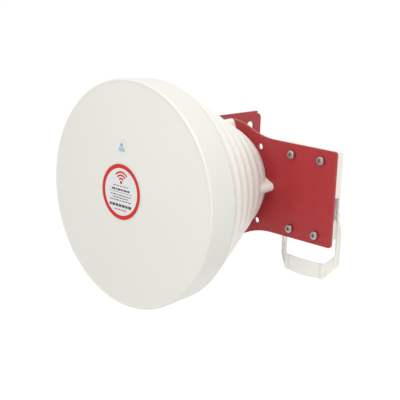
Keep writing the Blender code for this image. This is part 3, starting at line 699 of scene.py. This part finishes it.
def combine(mesh, others, operation):
    """Boolean of meshes, one after the other."""
    thing = bpy.data.objects.new("work", mesh)
    bpy.context.scene.collection.objects.link(thing)
    tools = []
    for other in others:
        tool = bpy.data.objects.new("tool", other)
        bpy.context.scene.collection.objects.link(tool)
        modifier = thing.modifiers.new("combine", "BOOLEAN")
        modifier.operation = operation
        modifier.solver = "EXACT"
        modifier.object = tool
        tools.append(tool)
    result = evaluated(thing)
    for tool in tools:
        bpy.data.objects.remove(tool)
    return result


def evaluated(thing):
    """Take the mesh that an object's modifiers make, and remove the object."""
    bpy.context.view_layer.update()
    graph = bpy.context.evaluated_depsgraph_get()
    mesh = bpy.data.meshes.new_from_object(thing.evaluated_get(graph))
    bpy.data.objects.remove(thing)
    mesh.materials.clear()
    mesh.polygons.foreach_set("material_index", [0] * len(mesh.polygons))
    weld(mesh)
    return mesh


def cut(mesh, *others):
    """Take the other meshes away from one."""
    return combine(mesh, others, "DIFFERENCE")


def join(mesh, *others):
    """Add the other meshes to one."""
    return combine(mesh, others, "UNION")


def soften(mesh, width, segments=3, angle=40):
    """Round the edges of a mesh that are sharper than an angle."""
    shape = bmesh.new()
    shape.from_mesh(mesh)
    flat = math.radians(0.5)
    bmesh.ops.dissolve_limit(
        shape, angle_limit=flat, verts=shape.verts, edges=shape.edges, delimit={"NORMAL"})
    shape.to_mesh(mesh)
    shape.free()
    thing = bpy.data.objects.new("work", mesh)
    bpy.context.scene.collection.objects.link(thing)
    bevel = thing.modifiers.new("soft_edges", "BEVEL")
    bevel.width = width * MM
    bevel.segments = segments
    bevel.limit_method = "ANGLE"
    bevel.angle_limit = math.radians(angle)
    bevel.miter_outer = "MITER_ARC"
    bevel.use_clamp_overlap = True
    return evaluated(thing)


# ---------------------------------------------------------------- horn

def dome(radius):
    """Place along Y of the face at a radius."""
    return -FACE_DOME * (1 - (radius / FACE_RADIUS) ** 2)


def cone(depth):
    """Radius of the housing without its ribs."""
    return CONE_WIDEST - CONE_SLOPE * (depth - CONE_START)


def ribbed_cone(depth):
    """Radius of the housing, with round ribs that fade out at both ends."""
    fade = min(1.0, (depth - CONE_START) / RIB_FADE_FRONT, (CONE_BACK - depth) / RIB_FADE_BACK)
    wave = math.cos(2 * math.pi * (depth - RIB_CREST) / RIB_PITCH)
    return cone(depth) + fade * RIB_HEIGHT * wave


def make_radome():
    """Closed front of the horn, with its skirt and the raised edge between them."""
    inner = rounded([(0, FACE_BACK), (SKIRT_INNER, SKIRT_FRONT), (SKIRT_INNER, SKIRT_BACK)], 1.0)
    foot = [(radius, dome(radius)) for radius in BEAD_FOOT]
    rim = rounded([(SKIRT_OUTER, SKIRT_BACK), *BEAD, *foot], BEAD_ROUNDING, 6)
    rim[0] = (SKIRT_OUTER, SKIRT_BACK - RADOME_CHAMFER)
    radii = [FACE_RADIUS * step / FACE_STEPS for step in range(FACE_STEPS - 2, -1, -1)]
    face = [(radius, dome(radius)) for radius in radii]
    profile = inner + [(SKIRT_OUTER - RADOME_CHAMFER, SKIRT_BACK)] + rim + face
    mesh = turned("radome_shell", profile, (0, 0, 0), (0, 1, 0), RADOME_STEPS)
    finish_mesh("radome_shell", mesh, "radome", "head", ["radome"])


def lug_reach(angle, depth):
    """Radius from the horn's axis to the outside of the nearest lug, at an angle and a depth.

    A lug is a wedge with a round tip. Away from it the radius falls below the cone's.
    """
    draft = LUG_DRAFT * (CONE_BACK - depth) / LUG_LENGTH
    turn = (angle + math.pi / 4) % (math.pi / 2) - math.pi / 4
    along = math.cos(turn)
    across = abs(math.sin(turn))
    side = math.radians(LUG_SIDE_ANGLE)
    radius = LUG_TIP_RADIUS - draft
    reach = math.inf
    if across > 0:
        flank = along * math.sin(side) + across * math.cos(side)
        reach = (LUG_TIP * math.sin(side) + radius) / flank
    if reach * (across * math.sin(side) - along * math.cos(side)) > -LUG_TIP * math.cos(side):
        return reach
    return LUG_TIP * along + math.sqrt(max(radius ** 2 - (LUG_TIP * across) ** 2, 0))


def soft_max(first, second, blend):
    """The larger of two values, with a smooth passage between them."""
    part = max(blend - abs(first - second), 0.0) / blend
    return max(first, second) + part * part * blend / 4


def make_housing():
    """Ribbed cone with its four lugs, its lip inside the skirt and its hollow."""
    length = CONE_BACK - CONE_START
    depths = [CONE_BACK - length * row / HOUSING_ROWS for row in range(HOUSING_ROWS + 1)]
    lip_shoulder = LIP_FRONT + LIP_CHAMFER
    inner = [
        (LIP_OUTER, CONE_START),
        (LIP_OUTER, lip_shoulder),
        (LIP_OUTER - LIP_CHAMFER, LIP_FRONT),
        (LIP_INNER + LIP_CHAMFER, LIP_FRONT),
        (LIP_INNER, lip_shoulder),
        (LIP_INNER, BORE_BACK),
        (cone(HOLLOW_BACK) - WALL, HOLLOW_BACK),
        (REAR_WALL_RADIUS, REAR_WALL_FRONT),
        (REAR_OPENING, REAR_WALL_FRONT),
        (REAR_OPENING, CONE_BACK),
    ]

    def section(angle):
        outer = [(soft_max(ribbed_cone(depth), lug_reach(angle, depth), LUG_BLEND), depth)
                 for depth in depths]
        return outer + inner

    mesh = turned("horn_shell", section, (0, 0, 0), (0, 1, 0), HOUSING_STEPS, ring=True)
    finish_mesh("horn_shell", mesh, "housing", "head", ["horn_housing"], angle=50)


# ---------------------------------------------------------------- stickers

def sticker(name, centre, back, radius, thickness, edge, steps):
    """Mesh of a thin disc in front of the face, whose rim slopes down to the edge's height."""
    profile = [(0, thickness), (radius - 0.1, thickness), (radius, edge), (radius, 0), (0, 0)]
    return turned(name, profile, (centre[0], back, centre[1]), (0, -1, 0), steps)


def make_label():
    """Round label: a red ring, an emblem of three arcs and a dot, and rows of plain bars."""
    x, z = LABEL_AT
    back = dome(0) - STICKER_GAP
    front = back - LABEL_THICKNESS
    print_span = (front - PRINT_RAISE, front + LABEL_PRINT_SINK)
    base = sticker("label_base", LABEL_AT, back, LABEL_RADIUS, LABEL_THICKNESS, LABEL_EDGE, 128)
    finish_mesh("label_base", base, "paper", "head", ["round_label"])
    outer, inner = (circle(LABEL_AT, radius, 96) for radius in LABEL_RING)
    ring = slab("label_ring", outer, [inner], "Y", print_span)
    finish_mesh("label_ring", ring, "red_ink", "head")
    emblem = (x, z + EMBLEM_HEIGHT)
    outlines = [arc(emblem, radius + EMBLEM_HALF_LINE, 40, 140, 24)
                + arc(emblem, radius - EMBLEM_HALF_LINE, 140, 40, 24) for radius in EMBLEM_ARCS]
    outlines.append(circle(emblem, EMBLEM_DOT, 24))
    for number, outline in enumerate(outlines, 1):
        shape = slab("label_emblem", outline, [], "Y", print_span)
        finish_mesh(f"label_emblem_{number}", shape, "red_ink", "head")
    for number, (height, thickness, width, ink) in enumerate(LABEL_ROWS, 1):
        bars = bar_row((x, z + height), thickness, width, number, print_span)
        finish_mesh(f"label_bar_{number}", bars, ink, "head")


def bar_row(centre, thickness, width, seed, span):
    """Mesh of a row of plain bars, whose uneven lengths come from the seed."""
    lengths = []
    total = 0.0
    while total < width - BAR_ROW_SLACK:
        wobble = abs(math.sin(seed * 2.3 + len(lengths) * 1.7))
        lengths.append(BAR_SHORTEST + BAR_SPREAD * wobble)
        total += lengths[-1] + BAR_GAP
    place = centre[0] - total / 2
    vertices = []
    faces = []
    for length in lengths:
        low = (place, span[0], centre[1] - thickness / 2)
        high = (place + length, span[1], centre[1] + thickness / 2)
        bar = block(low, high)
        first = len(vertices)
        vertices += [vertex.co.copy() for vertex in bar.vertices]
        faces += [tuple(first + corner for corner in face.vertices) for face in bar.polygons]
        bpy.data.meshes.remove(bar)
        place += length + BAR_GAP
    return mesh_from("bars", vertices, faces)


def make_up_mark():
    """Small clear sticker with an arrow that shows which way is up, and two bars."""
    x, z = MARK_AT
    back = dome(math.hypot(x, z) - MARK_RADIUS) - STICKER_GAP
    front = back - MARK_THICKNESS
    print_span = (front - PRINT_RAISE, front + MARK_PRINT_SINK)
    base = sticker("up_mark_film", MARK_AT, back, MARK_RADIUS, MARK_THICKNESS, MARK_EDGE, 64)
    finish_mesh("up_mark_film", base, "clear_film", "head", ["up_mark_sticker"])
    arrow = slab("arrow", [(x + across, z + up) for across, up in MARK_ARROW], [], "Y", print_span)
    finish_mesh("up_mark_arrow", arrow, "blue_ink", "head")
    half_width, half_height = MARK_BAR_HALF
    for number, height in enumerate(MARK_BARS, 1):
        low = (x - half_width, print_span[0], z + height - half_height)
        high = (x + half_width, print_span[1], z + height + half_height)
        finish_mesh(f"up_mark_bar_{number}", block(low, high), "blue_ink", "head")


# ---------------------------------------------------------------- bracket

def plate_half(tab):
    """Upper half of the plate's outline, for a tab that reaches this high."""
    fillet_z = tab + NECK_FILLET
    fillet_x = math.sqrt((DISC_RADIUS + NECK_FILLET) ** 2 - fillet_z ** 2)
    touch = math.degrees(math.atan2(fillet_z, fillet_x))
    corner = (TAB_RIGHT - TAB_CORNER, tab - TAB_CORNER)
    upper = arc(corner, TAB_CORNER, 0, 90, 12)
    upper += arc((fillet_x, fillet_z), NECK_FILLET, -90, touch - 180, 20)
    upper += arc((0, 0), DISC_RADIUS, touch, DISC_END_ANGLE, 20)[1:]
    return upper + [(FLANGE_INNER, FLANGE_HALF_HEIGHT), (FLANGE_OUTER, FLANGE_HALF_HEIGHT)]


def plate_outline():
    """Disc behind the horn and the tab that carries the cradle, as (X, Z) points."""
    return plate_half(TAB_TOP) + mirrored(plate_half(-TAB_BOTTOM))


def flange_outline():
    """Side plate, as (Y, Z) points."""
    step = FLANGE_BACK - FLANGE_CORNER
    upper = arc((step, FLANGE_CORNER_HEIGHT), FLANGE_CORNER, 0, 90, 12)
    upper += [(step, FLANGE_HALF_HEIGHT), (PLATE_FRONT + 1, FLANGE_HALF_HEIGHT)]
    return upper + mirrored(upper)


def round_fold(mesh, width, segments):
    """Bevel the outer edge of the fold between the plate and its side plate."""
    fold = spot(FLANGE_OUTER, PLATE_FRONT, 0).xy
    near = 0.1 * MM
    shape = bmesh.new()
    shape.from_mesh(mesh)
    edges = [edge for edge in shape.edges
             if all((end.co.xy - fold).length < near for end in edge.verts)]
    bmesh.ops.bevel(
        shape, geom=edges, offset=width * MM, offset_type="OFFSET", segments=segments, profile=0.5,
        affect="EDGES", clamp_overlap=True)
    shape.to_mesh(mesh)
    shape.free()
    weld(mesh)


def make_bracket():
    """Red sheet: the plate with the cradle's tab, folded into the side plate."""
    lug_screws = ((LUG_SCREW, 0), (0, LUG_SCREW), (0, -LUG_SCREW))
    feed_screws = circle((0, 0), FEED_SCREW_RADIUS, 8)[1::2]
    holes = [circle((0, 0), PLATE_OPENING, 96)]
    holes += [circle((SPARE_HOLE[0], side * SPARE_HOLE[1]), SPARE_HOLE_RADIUS) for side in (1, -1)]
    holes += [circle(place, SCREW_HOLE_RADIUS, 24) for place in DOCK_SCREWS + lug_screws]
    holes += [circle(place, FEED_HOLE_RADIUS, 24) for place in feed_screws]
    plate = slab("plate", plate_outline(), holes, "Y", (PLATE_FRONT, PLATE_BACK))
    holes = [circle((SIDE_HOLE[0], side * SIDE_HOLE[1]), SIDE_HOLE_RADIUS, 48) for side in (1, -1)]
    holes.append(arc_slot(TILT_AT, SLOT_RADIUS, SLOT_HALF_WIDTH, SLOT_FROM, SLOT_TO))
    side_plate = slab("side_plate", flange_outline(), holes, "X", (FLANGE_OUTER, FLANGE_INNER))
    mesh = join(plate, side_plate)
    round_fold(mesh, FOLD_BEVEL, 8)
    mesh = soften(mesh, BRACKET_ROUNDING)
    finish_mesh("folded_bracket", mesh, "red_coat", "head", ["red_bracket"])


# ---------------------------------------------------------------- screws

SCREW_ROUNDING = 0.12


def socket_screw(name, seat, way, shank, length, head, height, material, node):
    """Screw with a round head, a rounded rim and a six-sided socket.

    The seat is the place below the head, and way runs from there along the shank. Shank and head
    are radii. The socket is half as wide as the head.
    """
    way = Vector(way)
    seat = Vector(seat)
    edge = 0.16 * head
    brim = height - 0.12
    point = 0.4
    profile = [(0, height), (head * 0.62, height), (head * 0.68, brim)]
    profile += arc((head - edge, brim - edge), edge, 90, 0, 5)
    profile += [(head, 0.15), (head - 0.15, 0), (shank, 0), (shank, point - length)]
    profile += [(shank - point, -length), (0, -length)]
    mesh = turned(name, profile, seat, -way, 48)
    floor = seat - way * height * 0.35
    mesh = cut(mesh, rod(floor, seat - way * (height + 1), head * 0.5, 6))
    mesh = soften(mesh, SCREW_ROUNDING, 2, 50)
    finish_mesh(name, mesh, material, "head", [node])


def make_dock_screws():
    """Four screws that hold the cradle to the plate."""
    for number, (x, z) in enumerate(DOCK_SCREWS, 1):
        seat = (x, PLATE_FRONT - GAP, z)
        socket_screw(f"cradle_screw_{number}", seat, (0, 1, 0), shank=2.4, length=17, head=4.7,
                     height=4.2, material="stainless", node=f"dock_screw_{number}")


# ---------------------------------------------------------------- cradle and bail

def both_sides(low, high):
    """A range of X on the right side, and the same range on the left side."""
    return ((low, high), (2 * CRADLE_MIDDLE - high, 2 * CRADLE_MIDDLE - low))


def make_cradle():
    """Tray for the radio: narrower and shallower below, with a recess in each side for the bail."""
    floor = CRADLE_FRONT + CRADLE_WALL
    shelf = RECESS_TOP + CRADLE_WALL
    inside = RECESS_DEPTH + RECESS_WALL
    inner_bottom = CRADLE_BOTTOM + CRADLE_WALL
    beyond = CRADLE_RIGHT + PAST
    back = CRADLE_BACK + PAST
    low = CRADLE_BOTTOM - PAST
    outline = [(CRADLE_LEFT, CRADLE_BOTTOM), (CRADLE_RIGHT, CRADLE_BOTTOM),
               (CRADLE_RIGHT, CRADLE_TOP), (CRADLE_LEFT, CRADLE_TOP)]
    outline = rounded(outline, CRADLE_CORNER, 6, True)
    mesh = slab("tray", outline, [], "Y", (CRADLE_FRONT, CRADLE_BACK))

    hollows = [
        block((CRADLE_LEFT + CRADLE_WALL, floor, shelf),
              (CRADLE_RIGHT - CRADLE_WALL, back, CRADLE_TOP - CRADLE_WALL)),
        block((CRADLE_LEFT + inside, floor, inner_bottom),
              (CRADLE_RIGHT - inside, back, shelf + 1))]
    for left, right in both_sides(CRADLE_RIGHT - RECESS_DEPTH, beyond):
        hollows.append(block((left, CRADLE_FRONT - PAST, RECESS_BOTTOM),
                             (right, RECESS_BACK, RECESS_TOP)))
    for left, right in both_sides(CRADLE_RIGHT - CRADLE_WALL, beyond):
        hollows.append(block((left, LOW_PART_BACK, low), (right, back, RECESS_BOTTOM)))
        hollows.append(block((left, LOW_PART_BACK, RECESS_BOTTOM - 1),
                             (right, back, BAIL_Z + BAIL_HEAD + 0.6)))
    mesh = cut(mesh, *hollows)

    ears = both_sides(*(CRADLE_RIGHT - depth for depth in EAR_DEPTHS))
    added = [block((left, BAIL_Y - EAR_REACH, BAIL_Z - EAR_REACH),
                   (right, BAIL_Y + EAR_REACH, BAIL_Z + EAR_REACH)) for left, right in ears]
    added += [rod((x, floor - BOSS_SINK, z), (x, BOSS_BACK, z), BOSS_RADIUS, 48)
              for x, z in DOCK_SCREWS]
    mesh = join(mesh, *added)

    drill_front, drill_back = BOSS_DRILL_SPAN
    drills = [rod((x, drill_front, z), (x, drill_back, z), BOSS_DRILL) for x, z in DOCK_SCREWS]
    drills.append(pin_drill())
    drills.append(block((CRADLE_LEFT - PAST, LOW_RIM_BACK, low),
                        (beyond, back, inner_bottom + 0.1)))
    mesh = soften(cut(mesh, *drills), CRADLE_ROUNDING)
    finish_mesh("radio_cradle", mesh, "cradle", "head", ["cradle"])


def pin_drill():
    """Drill for the two pins of the bail."""
    start = (CRADLE_LEFT - PAST, BAIL_Y, BAIL_Z)
    return rod(start, (CRADLE_RIGHT + PAST, BAIL_Y, BAIL_Z), PIN_HOLE)


def bail_side():
    """Outline of one arm, as (Y, Z) points: thin at the pin, wider below."""
    head = arc((BAIL_Y, BAIL_Z), BAIL_HEAD, 0, 180, 16)
    return rounded(head + list(ARM_LINE), ARM_ROUNDING, 3, True, range(len(head) + 1))


def foot_wall(side, outside, inside, margin):
    """Slanting wall from one arm to the front of the foot; side is 1 on the right, -1 on the left.

    In plan it runs straight from the arm to the front panel. Outside and inside are the depths of
    its two faces below the wall's outer face. It stops short of the wall's edges by the margin, so
    that the same function makes the hollow in the wall.
    """
    half = CRADLE_RIGHT - CRADLE_MIDDLE - FOOT_WALL_SINK
    arm = Vector((half, FOOT_WALL_BACK))
    front = Vector((half - FOOT_INSET, FOOT_FRONT + 0.3))
    along = (front - arm).normalized()
    outward = Vector((-along.y, along.x))
    corners = []
    ends = ((arm + along * margin, FOOT_WALL_TOP, ARM_BOTTOM - 2.5),
            (front - along * margin, FOOT_TOP - FOOT_WALL_SINK, FOOT_BOTTOM + FOOT_WALL_SINK))
    for place, high, low in ends:
        for face in (outside, inside):
            x, y = place - outward * face
            for z in (high - margin * 1.3, low + margin * 1.3):
                corners.append((CRADLE_MIDDLE + side * x, y, z))
    return hull(corners)


def foot_panel():
    """Plan of the front panel, as (X, Y) points: a bulging sheet between two rims."""
    low = CRADLE_LEFT + FOOT_INSET
    high = CRADLE_RIGHT - FOOT_INSET
    reach = math.degrees(math.asin(((high - low) / 2 - FOOT_RIM) / FOOT_BULGE))
    front_centre = (CRADLE_MIDDLE, FOOT_FRONT - 2.0 + FOOT_BULGE)
    back_centre = (CRADLE_MIDDLE, FOOT_FRONT + 0.2 + FOOT_BULGE)
    outline = [(low, FOOT_FRONT), (low + FOOT_RIM, FOOT_FRONT)]
    outline += arc(front_centre, FOOT_BULGE, 270 - reach, 270 + reach, 24)
    outline += [(high - FOOT_RIM, FOOT_FRONT), (high, FOOT_FRONT), (high, FOOT_FRONT + FOOT_SHEET)]
    outline += arc(back_centre, FOOT_BULGE, 270 + reach, 270 - reach, 24)
    return outline + [(low, FOOT_FRONT + FOOT_SHEET)]


def sag_outline():
    """What is cut away below the foot, whose edge sags in the middle, as (X, Z) points."""
    radius = (FOOT_SAG_REACH ** 2 + FOOT_SAG ** 2) / (2 * FOOT_SAG)
    swing = math.degrees(math.asin(FOOT_SAG_REACH / radius))
    low = FOOT_BOTTOM - 3 * FOOT_SAG
    half = CRADLE_RIGHT - CRADLE_MIDDLE
    left = CRADLE_MIDDLE - half
    right = CRADLE_MIDDLE + half
    centre = (CRADLE_MIDDLE, FOOT_BOTTOM - FOOT_SAG + radius)
    outline = [(left, low), (left, FOOT_BOTTOM)]
    outline += arc(centre, radius, 270 - swing, 270 + swing, 20)
    return outline + [(right, FOOT_BOTTOM), (right, low)]


def make_bail():
    """Two arms, two slanting walls and the front panel of the foot, with the pins they swing on."""
    arms = [slab("arm", bail_side(), [], "X", span)
            for span in both_sides(CRADLE_RIGHT - BAIL_ARM, CRADLE_RIGHT)]
    mesh = slab("panel", foot_panel(), [], "Z", (FOOT_BOTTOM - FOOT_SAG, FOOT_TOP))
    mesh = cut(mesh, slab("sag", sag_outline(), [], "Y", (FOOT_FRONT - 5, FOOT_FRONT + 10)))
    walls = [foot_wall(side, 0, FOOT_SHEET, 0) for side in (-1, 1)]
    mesh = join(mesh, *arms, *walls)
    hollow = rounded(ARM_HOLLOW, ARM_HOLLOW_ROUNDING, 4, True)
    cutters = [slab("hollow", hollow, [], "X", span)
               for span in both_sides(CRADLE_RIGHT - ARM_HOLLOW_DEPTH, CRADLE_RIGHT + 2)]
    cutters += [foot_wall(side, -2, FOOT_HOLLOW_DEPTH, FOOT_HOLLOW_MARGIN) for side in (-1, 1)]
    mesh = soften(cut(mesh, pin_drill(), *cutters), BAIL_ROUNDING)
    finish_mesh("bail_frame", mesh, "cradle", "bail", ["bail"])
    for side, x, way in (("right", CRADLE_RIGHT + GAP, -1), ("left", CRADLE_LEFT - GAP, 1)):
        socket_screw(f"bail_pivot_{side}", (x, BAIL_Y, BAIL_Z), (way, 0, 0), shank=1.1, length=7,
                     head=1.9, height=0.6, material="cradle", node=f"bail_pin_{side}")


# ---------------------------------------------------------------- CAD nodes

# Starts of node names, with the width of their rounded edges in millimetres
ROUNDED_NODES = (
    (("clamp_", "feed_body", "feed_end_cap", "tilt_", "slot_"), 0.3),
    (("cap_screw_", "feed_screw_", "horn_screw_", "dock_nut_", "connector_"), 0.15),
)


def dress_nodes():
    """Give every CAD node its procedural material, by the slot that the record names for it."""
    slots = {entry["node"]: entry["material_slot"] for entry in frame["record"]["subparts"]}
    for name, node in frame["nodes"].items():
        node.data.materials.clear()
        node.data.materials.append(LOOKS[slots[name]])
        for starts, width in ROUNDED_NODES:
            if name.startswith(starts):
                round_edges(node, width)


def round_edges(node, width):
    """Round a node's sharp edges by modifiers, which leave its own vertices alone."""
    node.modifiers.new("close_up", "WELD").merge_threshold = 0.002 * MM
    edges = node.modifiers.new("soft_edges", "BEVEL")
    edges.width = width * MM
    edges.segments = 2
    edges.limit_method = "ANGLE"
    edges.angle_limit = math.radians(38)


make_camera()
make_lights()
make_stage()
LOOKS = make_materials()
dress_nodes()
make_radome()
make_housing()
make_label()
make_up_mark()
make_bracket()
make_dock_screws()
make_cradle()
make_bail()
bpy.context.scene.view_settings.view_transform = "Standard"
